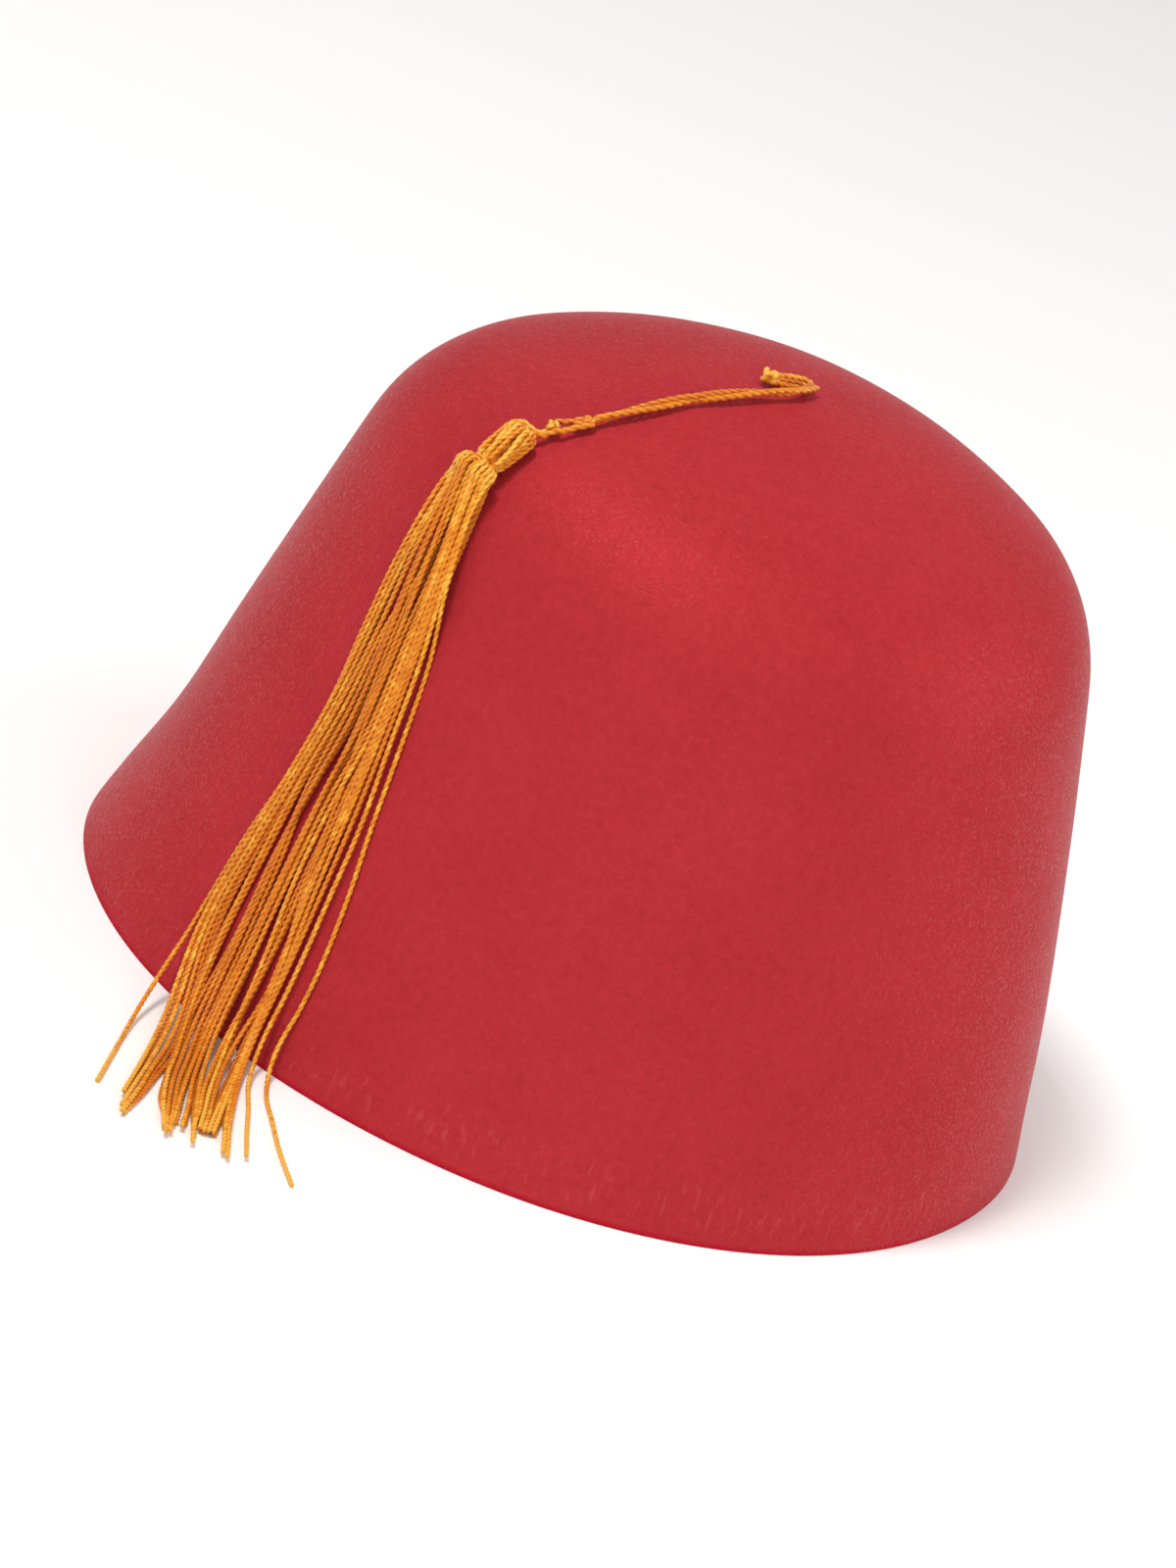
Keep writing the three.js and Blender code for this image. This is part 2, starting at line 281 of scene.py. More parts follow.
def felt_material():
    """Wool felt: fulled and blocked wool fibres. Dull and deep in colour face on, mottled where
    the fibres have clumped. Dyed fibres shine partly in their own colour, so the shine over the
    shoulder is a rosy one: a small metallic share and a red tint give it."""
    material, tree, shader = new_material(
        "wool_felt", Roughness=0.33, Metallic=0.08, Specular_Tint=linear("#FFC4CC"),
        Sheen_Weight=0.01, Sheen_Roughness=0.35, Sheen_Tint=linear("#F07C90"))
    place = node(tree, "TexCoord")
    # Slow clouds of depth in the dye, and clumps of fibre drawn coarse enough to show.
    cloud = node(tree, "TexNoise", inputs={"Scale": CLOUD_GRAINS, "Detail": 3.0,
                                           "Roughness": 0.6}, Vector=(place, "Object"))
    clump = node(tree, "TexNoise", inputs={"Scale": CLUMP_GRAINS, "Detail": 3.0,
                                           "Roughness": 0.65}, Vector=(place, "Object"))
    base = colour_ramp(tree, [(0.30, "#A72B30"), (0.52, "#AC2E33"), (0.75, "#B13137")],
                       Fac=(cloud, "Fac"))
    mottle = colour_ramp(tree, [(0.30, "#A0272D"), (0.62, "#B9333A")], Fac=(clump, "Fac"))
    blend = node(tree, "Mix", {"data_type": "RGBA"}, {"Factor": 0.35}, _6=(base, "Color"),
                 _7=(mottle, "Color"))
    # A thin deeper red line just above the rim.
    parts = node(tree, "SeparateXYZ", Vector=(place, "Object"))
    edge = node(tree, "MapRange", inputs={"From Min": 0.4 * MM, "From Max": 1.3 * MM,
                                          "To Min": 0.85, "To Max": 0.0}, Value=(parts, "Z"))
    rim = node(tree, "Mix", {"data_type": "RGBA"}, {7: linear("#AE0F26")},
               Factor=(edge, "Result"), _6=(blend, "Result"))
    # Brushed upright streaks in the band just above the edge, each about 1 mm by 4 mm.
    stretch = node(tree, "Mapping", inputs={"Scale": (1.0, 1.0, 0.28)}, Vector=(place, "Object"))
    streak = node(tree, "TexNoise", inputs={"Scale": STREAK_GRAINS, "Detail": 2.0},
                  Vector=(stretch, "Vector"))
    streak_line = node(tree, "MapRange", inputs={"From Min": 0.56, "From Max": 0.74, "To Max": 0.34},
                       Value=(streak, "Fac"))
    band = node(tree, "MapRange", {"interpolation_type": "SMOOTHSTEP"},
                {"From Min": 13 * MM, "From Max": 8 * MM}, Value=(parts, "Z"))
    low = node(tree, "MapRange", {"interpolation_type": "SMOOTHSTEP"},
               {"From Min": 1.5 * MM, "From Max": 4 * MM}, Value=(parts, "Z"))
    in_band = node(tree, "Math", {"operation": "MULTIPLY"}, _0=(band, "Result"), _1=(low, "Result"))
    amount = node(tree, "Math", {"operation": "MULTIPLY"}, _0=(in_band, "Value"),
                  _1=(streak_line, "Result"))
    streaked = node(tree, "Mix", {"data_type": "RGBA"}, {7: linear("#C8525C")},
                    Factor=(amount, "Value"), _6=(rim, "Result"))
    tree.links.new(streaked.outputs["Result"], shader.inputs["Base Color"])
    fibre = node(tree, "TexNoise", inputs={"Scale": FIBRE_GRAINS, "Detail": 3.0,
                                           "Roughness": 0.7}, Vector=(place, "Object"))
    nap = node(tree, "Math", {"operation": "MULTIPLY_ADD"}, {1: 0.7}, _0=(clump, "Fac"),
               _2=(fibre, "Fac"))
    bump = node(tree, "Bump", inputs={"Strength": 0.65, "Distance": 0.3 * MM},
                Height=(nap, "Value"))
    # Here and there a tuft lies flat and glints.
    glint = node(tree, "MapRange", inputs={"From Min": 0.53, "From Max": 0.78, "To Min": 0.01,
                                           "To Max": 0.36}, Value=(fibre, "Fac"))
    tree.links.new(glint.outputs["Result"], shader.inputs["Specular IOR Level"])
    tree.links.new(bump.outputs["Normal"], shader.inputs["Normal"])
    return material


def rayon_material():
    """Spun rayon: bright filaments plied into strands. Satin, with painted light on the plies: a
    painted highlight in gold where a ply turns up and painted shade in burnt orange down in the
    groove between plies, with brighter dashes along it."""
    material, tree, shader = new_material(
        "rayon_twist", Roughness=0.30, Specular_IOR_Level=0.6, Sheen_Weight=0.03,
        Sheen_Roughness=0.4, Sheen_Tint=linear("#FFD98A"),
        Specular_Tint=linear("#FFE0A0"))
    ridge = node(tree, "Attribute", {"attribute_name": "ridge"})
    tone = node(tree, "Attribute", {"attribute_name": "tone"})
    place = node(tree, "TexCoord")
    drift = node(tree, "TexNoise", inputs={"Scale": DRIFT_GRAINS, "Detail": 2.0},
                 Vector=(place, "Object"))
    dashes = node(tree, "MapRange", inputs={"From Min": 0.25, "From Max": 0.75, "To Min": 0.0,
                                            "To Max": 0.5}, Value=(drift, "Fac"))
    # Single filaments are too fine to show, so they are drawn 0.4 mm across.
    filament = node(tree, "TexNoise", inputs={"Scale": FILAMENT_GRAINS, "Detail": 2.0},
                    Vector=(place, "Object"))
    # Painted light on each ply, from its ridge value: painted shade in the groove, painted highlight
    # on the ridge.
    ply = colour_ramp(tree, [(0.0, "#A43A12"), (0.30, "#C66019"), (0.70, "#DA7E1E"),
                             (1.0, "#E79526")], Fac=(ridge, "Fac"))
    spread = node(tree, "Math", {"operation": "ADD"}, _0=(dashes, "Result"), _1=(tone, "Fac"))
    shade = colour_ramp(tree, [(0.30, "#B04416"), (0.60, "#D06E1A"), (0.82, "#E28C22"),
                               (0.93, "#F0AC34"), (1.0, "#FCCB54")], Fac=(spread, "Value"))
    blend = node(tree, "Mix", {"data_type": "RGBA"}, {"Factor": 0.55}, _6=(ply, "Color"),
                 _7=(shade, "Color"))
    tree.links.new(blend.outputs["Result"], shader.inputs["Base Color"])
    bump = node(tree, "Bump", inputs={"Strength": 0.4, "Distance": 0.08 * MM},
                Height=(filament, "Fac"))
    tree.links.new(bump.outputs["Normal"], shader.inputs["Normal"])
    return material


# ---- Twisted strands ------------------------------------------------------------------------

STRAND_RADIUS = 0.48
STRAND_PITCH = 2.8      # one whole turn of the two plies
PLY_SIDES = 8
TURN_STEPS = 8
GROOVE_DEPTH = 0.34     # of the strand's radius, between the plies
GROOVE_SHARPNESS = 1.2
PATH_STEP = 1.0
FINE_STEP = 0.4
# A skirt strand's tone is raised towards its frayed tip, partly as paler loose fibre and partly as
# painted light, and where it is folded over at the neck as a painted highlight, by this much of the
# tone, fading over this many millimetres.
FRAYED_PALENESS_AND_LIGHT, FRAYED_REACH = 0.50, 16.0
FOLDED_HIGHLIGHT, FOLDED_HIGHLIGHT_REACH = 0.45, 8.0
SQUEEZE = 0.55          # the share of its thickness that a strand starts with inside the neck


def twisted_rod(length, radius, pitch):
    """A straight two-ply strand along +Z from the origin, closed at both ends."""
    deselect_all()
    bpy.ops.mesh.primitive_circle_add(vertices=PLY_SIDES, radius=radius * MM)
    rod = bpy.context.object
    for vertex in rod.data.vertices:
        across = abs(vertex.co.x) / (radius * MM)
        vertex.co *= 1 - GROOVE_DEPTH * max(0.0, 1 - across) ** GROOVE_SHARPNESS
    turns = max(1, round(length / pitch))
    apply_modifier(rod, "SCREW", axis="Z", angle=2 * math.pi, screw_offset=length / turns * MM,
                   iterations=turns, steps=TURN_STEPS, render_steps=TURN_STEPS,
                   use_smooth_shade=True, use_merge_vertices=False)
    bpy.ops.object.mode_set(mode="EDIT")
    bpy.ops.mesh.select_all(action="SELECT")
    bpy.ops.mesh.fill_holes(sides=0)
    bpy.ops.mesh.select_all(action="SELECT")
    bpy.ops.mesh.normals_make_consistent(inside=False)
    bpy.ops.object.mode_set(mode="OBJECT")
    return rod


def strand(path, tone, radius=STRAND_RADIUS, pitch=STRAND_PITCH, thin_start=0.0):
    """One plied strand along a path in millimetres. thin_start squeezes its first stretch."""
    length = path_length(path)
    rod = twisted_rod(length, radius, pitch)
    phase = chance.uniform(0, 2 * math.pi)
    rod.data.transform(Matrix.Rotation(phase, 4, "Z"))
    lowest = 1 - GROOVE_DEPTH
    # ridge: how far out on its plies each point lies. The rayon paints shade in the grooves and a
    # highlight on the ridges from it.
    ridge = rod.data.attributes.new("ridge", "FLOAT", "POINT")
    shade = rod.data.attributes.new("tone", "FLOAT", "POINT")
    for vertex in rod.data.vertices:
        out = math.hypot(vertex.co.x, vertex.co.y) / (radius * MM)
        ridge.data[vertex.index].value = min(1.0, max(0.0, (out - lowest) / (1 - lowest)))
        along = vertex.co.z / MM
        # Raised tone: paler loose fibre and painted light towards the tip, and a painted highlight
        # at the fold in the neck.
        fray_paleness_and_light = FRAYED_PALENESS_AND_LIGHT * math.exp((along - length) / FRAYED_REACH) if thin_start else 0.0
        fold_highlight = FOLDED_HIGHLIGHT * math.exp(-along / FOLDED_HIGHLIGHT_REACH) if thin_start else 0.0
        shade.data[vertex.index].value = tone + fray_paleness_and_light + fold_highlight
        if along < thin_start:
            squeeze = SQUEEZE + (1 - SQUEEZE) * along / thin_start
            vertex.co.x *= squeeze
            vertex.co.y *= squeeze
    line = bpy.data.curves.new("route", "CURVE")
    line.dimensions = "3D"
    line.twist_mode = "MINIMUM"
    spline = line.splines.new("POLY")
    spline.points.add(len(path) - 1)
    for point, place in zip(spline.points, path):
        point.co = (*(place * MM), 1)
    route = bpy.data.objects.new("route", line)
    bpy.context.scene.collection.objects.link(route)
    apply_modifier(rod, "CURVE", object=route, deform_axis="POS_Z")
    bpy.data.objects.remove(route)
    bpy.data.curves.remove(line)
    return rod


def join(pieces, name, material):
    make_active(pieces[0])
    for piece in pieces:
        piece.select_set(True)
    bpy.ops.object.join()
    joined = bpy.context.object
    joined.name = name
    joined.data.name = name
    joined.data.materials.clear()
    joined.data.materials.append(material)
    return joined


# ---- Cord, knotted tail and loop ------------------------------------------------------------

CORD_STRAND_RADIUS = 0.62
CORD_PITCH = 3.6
CORD_HALF_TURN = 19.0   # length over which the cord's two strands change places
CORD_CLOSENESS = 0.98   # how far each strand lies off the cord's line, in its own radii
CORD_FLATNESS = 0.6     # how far one strand rises over the other, as a share of a round cord's
CORD_CLOSING = 0.3      # what is left of that distance where the cord enters the head
CORD_TONE, CORD_TONE_STEP = 0.34, 0.10
CORD_ROUTE = [
    (2.0, -6.3, 1.6), (0.2, -10.6, 1.7), (-2.2, -13.8, 1.7), (-5.4, -16.5, 1.7),
    (-8.6, -19.2, 1.7), (-12.0, -22.1, 1.7), (-15.4, -24.8, 1.7), (-18.6, -27.3, 1.7),
    (-21.6, -29.9, 1.7), (-24.5, -32.2, 1.7), (-27.4, -34.4, 1.7), (-30.2, -36.4, 1.7),
    (-33.0, -38.2, 1.7), (-35.6, -39.4, 1.7), (-37.6, -40.2, 1.9), (-39.0, -41.6, 1.6),
    (-40.3, -42.2, 2.6),
]
CORD_KNOT = dict(place=(-37.9, -39.9, 1.9), radius=0.85, thickness=0.48)
# Measured back along the cord from the head: the second strand stops in the knot, the two part
# round a small eye, a third strand fills the spread, and both lie flat on this last stretch.
KNOT_FROM_END = 3.4
EYE_FROM_END = 5.6
EYE_ROOM = 1.6
SPREAD_FROM_END = 17.0
FLAT_FROM_END = 12.0
OPENINGS = [
    dict(from_end=EYE_FROM_END, widen=1.3, reach=1.5),
    dict(from_end=EYE_FROM_END + 5, widen=0.7, reach=4.0),
]
MIDDLE_STRAND = dict(radius=0.66, pitch=CORD_PITCH, tone=0.35)
TOP_REACH = 60.0        # as far out as the cord's own place on the top is looked up
HEAD_START = (-41.1, -42.8, 3.6)
HEAD_END = (-45.1, -47.2, 3.6)

KNOT_STEPS = 36
KNOT_WEAVE = 1.6        # how wide the trefoil's loops swing
KNOT_SPAN = 2.2         # the trefoil's reach, which brings it to the knot's own radius
KNOT_RISE = 0.75
KNOT_PITCH = 2.6
KNOT_TONE = 0.8


def knot_strand(place, radius, thickness):
    """A small overhand knot: one strand on a trefoil, drawn tight and standing on the felt."""
    centre = over_felt(*place)
    azimuth = math.degrees(math.atan2(centre.x, -centre.y))
    up = felt_normal(azimuth, down_to_radius(math.hypot(centre.x, centre.y)))
    side = Vector((0, 0, 1)).cross(up)
    side = side.normalized() if side.length > 0.01 else Vector((1, 0, 0))
    front = up.cross(side)
    points = []
    for index in range(KNOT_STEPS + 1):
        t = 2 * math.pi * index / KNOT_STEPS
        flat_x = (math.sin(t) + KNOT_WEAVE * math.sin(2 * t)) / KNOT_SPAN
        flat_y = (math.cos(t) - KNOT_WEAVE * math.cos(2 * t)) / KNOT_SPAN
        points.append(centre + side * flat_x * radius + front * flat_y * radius
                      + up * -math.sin(3 * t) * radius * KNOT_RISE)
    return strand(points, KNOT_TONE, radius=thickness, pitch=KNOT_PITCH)


def cord_offset(point, along, travelled, left, side):
    """How far one of the cord's two strands lies off its line, with so much left to the head."""
    azimuth = math.degrees(math.atan2(point.x, -point.y))
    reach = min(math.hypot(point.x, point.y), TOP_REACH)
    up = felt_normal(azimuth, down_to_radius(reach))
    across = up.cross(along).normalized()
    turn = math.pi * travelled / CORD_HALF_TURN
    part = CORD_STRAND_RADIUS * CORD_CLOSENESS * side
    opening = 1.0
    for place in OPENINGS:
        share = (left - place["from_end"]) / place["reach"]
        opening += place["widen"] * math.exp(-share ** 2)
    closing = min(1.0, CORD_CLOSING + left / EYE_FROM_END)
    if left > FLAT_FROM_END:
        return (across * abs(math.cos(turn)) * part * opening * closing
                + up * math.sin(turn) * part * CORD_FLATNESS)
    return across * part * opening * closing


def make_cord(material):
    """Two strands side by side, slowly changing places, from the tack to the tassel's head."""
    centre = smooth_path([over_felt(*place) for place in CORD_ROUTE], PATH_STEP)
    total = path_length(centre)
    strands = []
    for side in (1, -1):
        path = []
        travelled = 0.0
        for index, point in enumerate(centre):
            ahead = centre[min(index + 1, len(centre) - 1)]
            behind = centre[max(index - 1, 0)]
            along = (ahead - behind).normalized()
            left = total - travelled
            path.append(point + cord_offset(point, along, travelled, left, side))
            travelled += (ahead - point).length
            if side < 0 and left < KNOT_FROM_END:
                break
        tone = CORD_TONE + CORD_TONE_STEP * side
        strands.append(strand(path, tone, radius=CORD_STRAND_RADIUS, pitch=CORD_PITCH))
    # A third strand fills the spread before the eye.
    middle = [point for index, point in enumerate(centre)
              if EYE_FROM_END + EYE_ROOM < total - path_length(centre[:index + 1]) < SPREAD_FROM_END]
    strands.append(strand(middle, **MIDDLE_STRAND))
    strands.append(knot_strand(**CORD_KNOT))
    cord = join(strands, "tassel_cord_twist", material)
    finish_piece(cord, "tassel_cord")
    return cord, centre, total


# ---- Camera and cord come first -------------------------------------------------------------

add_camera()
FELT = felt_material()
RAYON = rayon_material()
cord_piece, cord_line, cord_length = make_cord(RAYON)


# ---- Felt crown -----------------------------------------------------------------------------

FELT_SEGMENTS = 96
DOME_ROWS = 7
SHOULDER_ROWS = 7
WALL_ROWS = 9
POLE_RADIUS = 4.0
CUT_EDGE = 1.0          # what lies lower than this belongs to the flat cut edge
RIM_ROUNDING = 0.35
TOP_FADE = 40.0         # the unevenness fades out inside this radius
WALL_MIDDLE = (20.0, 60.0)
# Slow unevenness left by blocking the felt: lobes round the hat, waves down it, height in mm.
UNEVENNESS = [
    dict(lobes=3, wave=95.0, phase=0.6, height=0.16),
    dict(lobes=5, wave=60.0, phase=2.1, height=0.12),
    dict(lobes=8, wave=42.0, phase=4.0, height=0.08),
    dict(lobes=13, wave=31.0, phase=1.2, height=0.05),
]


def felt_rows():
    """Radius and height of each ring, from the rim up to the middle of the top."""
    spans = [(RIM_DOWN, DOME_RUN + SHOULDER_RUN, WALL_ROWS),
             (DOME_RUN + SHOULDER_RUN, DOME_RUN, SHOULDER_ROWS),
             (DOME_RUN, POLE_RADIUS, DOME_ROWS)]
    rows = []
    for start, end, count in spans:
        for index in range(1, count + 1):
            point, _ = outline_at(start + (end - start) * index / count)
            rows.append((point.x, point.y))
    return rows


def raise_shell():
    """The felt's outer face: a ring at the rim, drawn up ring by ring and closed on top."""
    deselect_all()
    bpy.ops.mesh.primitive_circle_add(vertices=FELT_SEGMENTS, radius=RIM_RADIUS * MM)
    shell = bpy.context.object
    shell.name = "felt_shell"
    shell.data.name = "felt_shell"
    bpy.ops.object.mode_set(mode="EDIT")
    bpy.ops.mesh.select_all(action="SELECT")
    radius, height = RIM_RADIUS, 0.0
    for next_radius, next_height in felt_rows():
        rise = (0, 0, (next_height - height) * MM)
        bpy.ops.mesh.extrude_region_move(TRANSFORM_OT_translate={"value": rise})
        grow = next_radius / radius
        bpy.ops.transform.resize(value=(grow, grow, 1), center_override=(0, 0, 0))
        radius, height = next_radius, next_height
    rise = (0, 0, (CROWN_HEIGHT - height) * MM)
    bpy.ops.mesh.extrude_region_move(TRANSFORM_OT_translate={"value": rise})
    bpy.ops.mesh.merge(type="CENTER")
    bpy.ops.mesh.select_all(action="SELECT")
    bpy.ops.mesh.normals_make_consistent(inside=False)
    bpy.ops.object.mode_set(mode="OBJECT")
    return shell


def push_out_of_round(shell):
    """Pushes the felt in and out where it is out of round, and turns its faces outwards."""
    for vertex in shell.data.vertices:
        x, y, z = vertex.co / MM
        radius = math.hypot(x, y)
        if radius > 0.01:
            angle = math.atan2(x, -y)
            push = push_at(math.degrees(angle), z)
            fade = min(1.0, radius / TOP_FADE)
            for wave in UNEVENNESS:
                push += (wave["height"] * fade * math.sin(wave["lobes"] * angle + wave["phase"])
                         * math.cos(2 * math.pi * z / wave["wave"] + wave["phase"]))
            vertex.co.x *= (radius + push) / radius
            vertex.co.y *= (radius + push) / radius
    low, high = WALL_MIDDLE
    side = next(f for f in shell.data.polygons if low * MM < f.center.z < high * MM)
    outwards = side.normal.dot(Vector((side.center.x, side.center.y, 0))) > 0
    if not outwards:
        shell.data.flip_normals()


def ease_cut_edge(shell):
    """Cuts the rim level with the ground and eases its two corners."""
    for vertex in shell.data.vertices:
        if vertex.co.z < CUT_EDGE * MM:
            vertex.co.z = 0.0
    bpy.ops.object.mode_set(mode="EDIT")
    bpy.ops.mesh.select_mode(type="EDGE")
    bpy.ops.mesh.select_all(action="DESELECT")
    bpy.ops.object.mode_set(mode="OBJECT")
    flat = {v.index for v in shell.data.vertices if v.co.z < 1e-6}
    for edge in shell.data.edges:
        start, end = (shell.data.vertices[i].co for i in edge.vertices)
        same_radius = abs(start.length - end.length) < 0.6 * FELT_THICKNESS * MM
        edge.select = edge.vertices[0] in flat and edge.vertices[1] in flat and same_radius
    bpy.ops.object.mode_set(mode="EDIT")
    bpy.ops.mesh.bevel(offset=RIM_ROUNDING * MM, segments=2)
    bpy.ops.object.mode_set(mode="OBJECT")


def make_felt_crown(material):
    shell = raise_shell()
    push_out_of_round(shell)
    apply_modifier(shell, "SOLIDIFY", thickness=FELT_THICKNESS * MM, offset=-1,
                   use_even_offset=True)
    ease_cut_edge(shell)
    apply_modifier(shell, "SUBSURF", levels=2, render_levels=2)
    bpy.ops.object.shade_smooth()
    shell.data.materials.append(material)
    finish_piece(shell, "felt_crown")


make_felt_crown(FELT)


# ---- Head and neck --------------------------------------------------------------------------

HEAD_STRANDS = 16
HEAD_STRAND = dict(radius=0.54, pitch=2.6)
HEAD_CORE = dict(radius=2.05, pitch=9.0, tone=0.4)
HEAD_TWIST = math.radians(34)
HEAD_DOWN = 68.0        # where on the felt's outline the head lies
# How the head's strands differ by chance: in twist, in how far they swell out, in height, in
# their place round the axis, and in tone.
HEAD_CHANCE = dict(twist=(0.2, 1.6), swell=(0.86, 1.08), drop=(-0.04, 0.05), turn=(-0.07, 0.07),
                   tone=(0.45, 0.85))
CORE_SHARES = [0.1 + 0.09 * step for step in range(11)]
# Outline of the head's strands about its axis: share of the head's length, and radius.
HEAD_OUTLINE = [(0.16, 1.3), (0.02, 1.9), (-0.01, 2.4), (0.08, 2.72), (0.25, 2.78), (0.50, 2.72),
                (0.72, 2.62), (0.88, 2.4), (1.0, 1.85), (1.16, 1.65)]
# Strands looped over the head's top: direction round the axis, length down each side, height.
HEAD_LOOPS = [(0.3, 0.34, 0.06), (1.1, 0.24, 0.10), (1.9, 0.40, 0.05), (2.6, 0.28, 0.09)]
CORD_LOOP = [(-38.6, -41.2, 1.9), (-39.6, -41.9, 2.4), (-40.8, -41.4, 3.2), (-42.0, -40.9, 4.2),
             (-43.2, -41.4, 4.4), (-43.9, -42.9, 3.8), (-44.0, -44.3, 2.8)]
LOOP_STRAND = dict(radius=0.5, pitch=2.6, tone=0.8)
LOOP_WIDTH = 2.5
LOOP_MIDDLE = 0.04      # how far down the head's length the loops are bent over
LOOP_TONES = (0.7, 0.9)
LOOP_STEPS = 8
BINDING_TURNS = 3
BINDING_STEPS = 14      # in each turn
BINDING_RISE = 0.075    # of the head's length, in each turn
BINDING_RADIUS = 2.2
BINDING_THREAD = dict(radius=0.33, pitch=1.6, tone=0.7)


def axes_along(direction, up):
    """Two directions square to a line, the second as near up as it can be."""
    across = direction.cross(up).normalized()
    return across, across.cross(direction).normalized()


HEAD_TOP = over_felt(*HEAD_START)
HEAD_BOTTOM = over_felt(*HEAD_END)
HEAD_LINE = HEAD_BOTTOM - HEAD_TOP
HEAD_AZIMUTH = math.degrees(math.atan2(HEAD_BOTTOM.x, -HEAD_BOTTOM.y))
HEAD_UP = felt_normal(HEAD_AZIMUTH, HEAD_DOWN)
HEAD_SIDE, HEAD_OUT = axes_along(HEAD_LINE.normalized(), HEAD_UP)


def round_head(angle):
    """The direction out from the head's axis at an angle round it."""
    return HEAD_SIDE * math.cos(angle) + HEAD_OUT * math.sin(angle)


def make_head(material):
    """The skirt's strands doubled over the cord's loop, side by side round the head."""
    strands = []
    for index in range(HEAD_STRANDS):
        start = 2 * math.pi * index / HEAD_STRANDS
        lean = HEAD_TWIST * chance.uniform(*HEAD_CHANCE["twist"])
        swell = chance.uniform(*HEAD_CHANCE["swell"])
        drop = chance.uniform(*HEAD_CHANCE["drop"])
        points = []
        for share, radius in HEAD_OUTLINE:
            angle = start + lean * share + chance.uniform(*HEAD_CHANCE["turn"])
            share += drop * (1 - share)
            points.append(HEAD_TOP + HEAD_LINE * share + round_head(angle) * radius * swell)
        tone = chance.uniform(*HEAD_CHANCE["tone"])
        strands.append(strand(smooth_path(points, FINE_STEP), tone, **HEAD_STRAND))
    core = [HEAD_TOP + HEAD_LINE * share for share in CORE_SHARES]
    strands.append(strand(core, **HEAD_CORE))
    # Loops over the head's top, and the cord's own loop that holds them.
    for angle, reach, rise in HEAD_LOOPS:
        points = []
        for step in range(LOOP_STEPS + 1):
            bend = math.pi * step / LOOP_STEPS
            share = LOOP_MIDDLE + reach * (math.cos(bend) ** 2) - rise * math.sin(bend)
            out = round_head(angle) * LOOP_WIDTH * math.cos(bend)
            points.append(HEAD_TOP + HEAD_LINE * share + out)
        tone = chance.uniform(*LOOP_TONES)
        strands.append(strand(smooth_path(points, FINE_STEP), tone, **HEAD_STRAND))
    loop = smooth_path([over_felt(*place) for place in CORD_LOOP], FINE_STEP)
    strands.append(strand(loop, **LOOP_STRAND))
    head = join(strands, "tassel_head_strands", material)
    finish_piece(head, "tassel_head")
    return head


def make_binding(material):
    """Thread wound round the neck, just under the head."""
    points = []
    for index in range(BINDING_TURNS * BINDING_STEPS + 1):
        turns = index / BINDING_STEPS
        out = round_head(2 * math.pi * turns) * BINDING_RADIUS
        points.append(HEAD_TOP + HEAD_LINE * (1.0 + BINDING_RISE * turns) + out)
    binding = join([strand(points, **BINDING_THREAD)], "neck_binding_thread", material)
    finish_piece(binding, "neck_binding")
    return binding


head_piece = make_head(RAYON)
binding_piece = make_binding(RAYON)


# ---- Knotted tail ---------------------------------------------------------------------------

TAIL_ROUTES = [
    [(1.6, -6.8, 1.0), (1.7, -5.1, 1.2), (0.6, -4.2, 1.3), (-1.6, -5.0, 1.4), (-4.0, -6.9, 1.5),
     (-6.0, -8.8, 1.7)],
    [(1.6, -7.2, 0.8), (1.2, -6.1, 0.8), (-0.2, -5.8, 0.9), (-2.4, -7.2, 1.1), (-4.4, -8.6, 1.2),
     (-6.0, -9.8, 1.4)],
    [(1.1, -8.4, 0.8), (0.4, -7.4, 0.7), (-0.9, -7.7, 0.7), (-2.4, -8.9, 0.8), (-4.2, -9.8, 1.0),
     (-5.8, -10.4, 1.2)],
]
# The middle strand's darker tone is painted shade between the other two.
TAIL_TONES = (0.6, 0.2, 0.4)
TAIL_STRAND = dict(radius=0.58, pitch=3.0)
TAIL_KNOT = dict(place=(-6.2, -9.8, 1.7), radius=1.0, thickness=0.72)


def make_tail(material):
    """The cord's loose end, unlaid into three strands and turned back from the tack."""
    strands = [strand(smooth_path([over_felt(*place) for place in route], PATH_STEP), tone,
                      **TAIL_STRAND)
               for route, tone in zip(TAIL_ROUTES, TAIL_TONES)]
    tail = join(strands, "cord_tail_strands", material)
    finish_piece(tail, "cord_tail")


make_tail(RAYON)
knot_piece = join([knot_strand(**TAIL_KNOT)], "tail_knot_twist", RAYON)
finish_piece(knot_piece, "tail_knot")


# ---- Skirt ----------------------------------------------------------------------------------

# Middle line of the skirt on the wall, with its thickness: a row for each section.
SKIRT_SECTIONS = [
    dict(down=75, azimuth=-43.6, thick=6.2),
    dict(down=90, azimuth=-42.1, thick=4.6),
    dict(down=105, azimuth=-41.1, thick=3.4),
    dict(down=120, azimuth=-40.0, thick=2.7),
    dict(down=135, azimuth=-38.9, thick=2.3),
    dict(down=150, azimuth=-37.8, thick=2.1),
    dict(down=165, azimuth=-36.5, thick=2.0),
]
BEND_START = 0.62       # how far down to the floor a strand still follows the wall, as a share
BEND_END = 9.0          # how far before the first floor row the strand lies along the floor
TIP_PULL = 0.55         # how much straighter than its floor places a strand runs to its tip
STRAND_REST = 0.55      # a strand's middle over what it lies on
FLOOR_ROWS = (-94.0, -103.0, -112.0)
# How a strand springs out below the bound neck: along its line, and how wide and thick there.
NECK_ROWS = [
    dict(along=0.6, wide=0.9, thick=0.7), dict(along=0.0, wide=2.6, thick=1.6),
    dict(along=0.5, wide=4.1, thick=2.5), dict(along=2.2, wide=4.4, thick=2.9),
]
NECK_END = 1.05         # where the bound neck ends, along the head's line
NECK_WANDER = 0.25
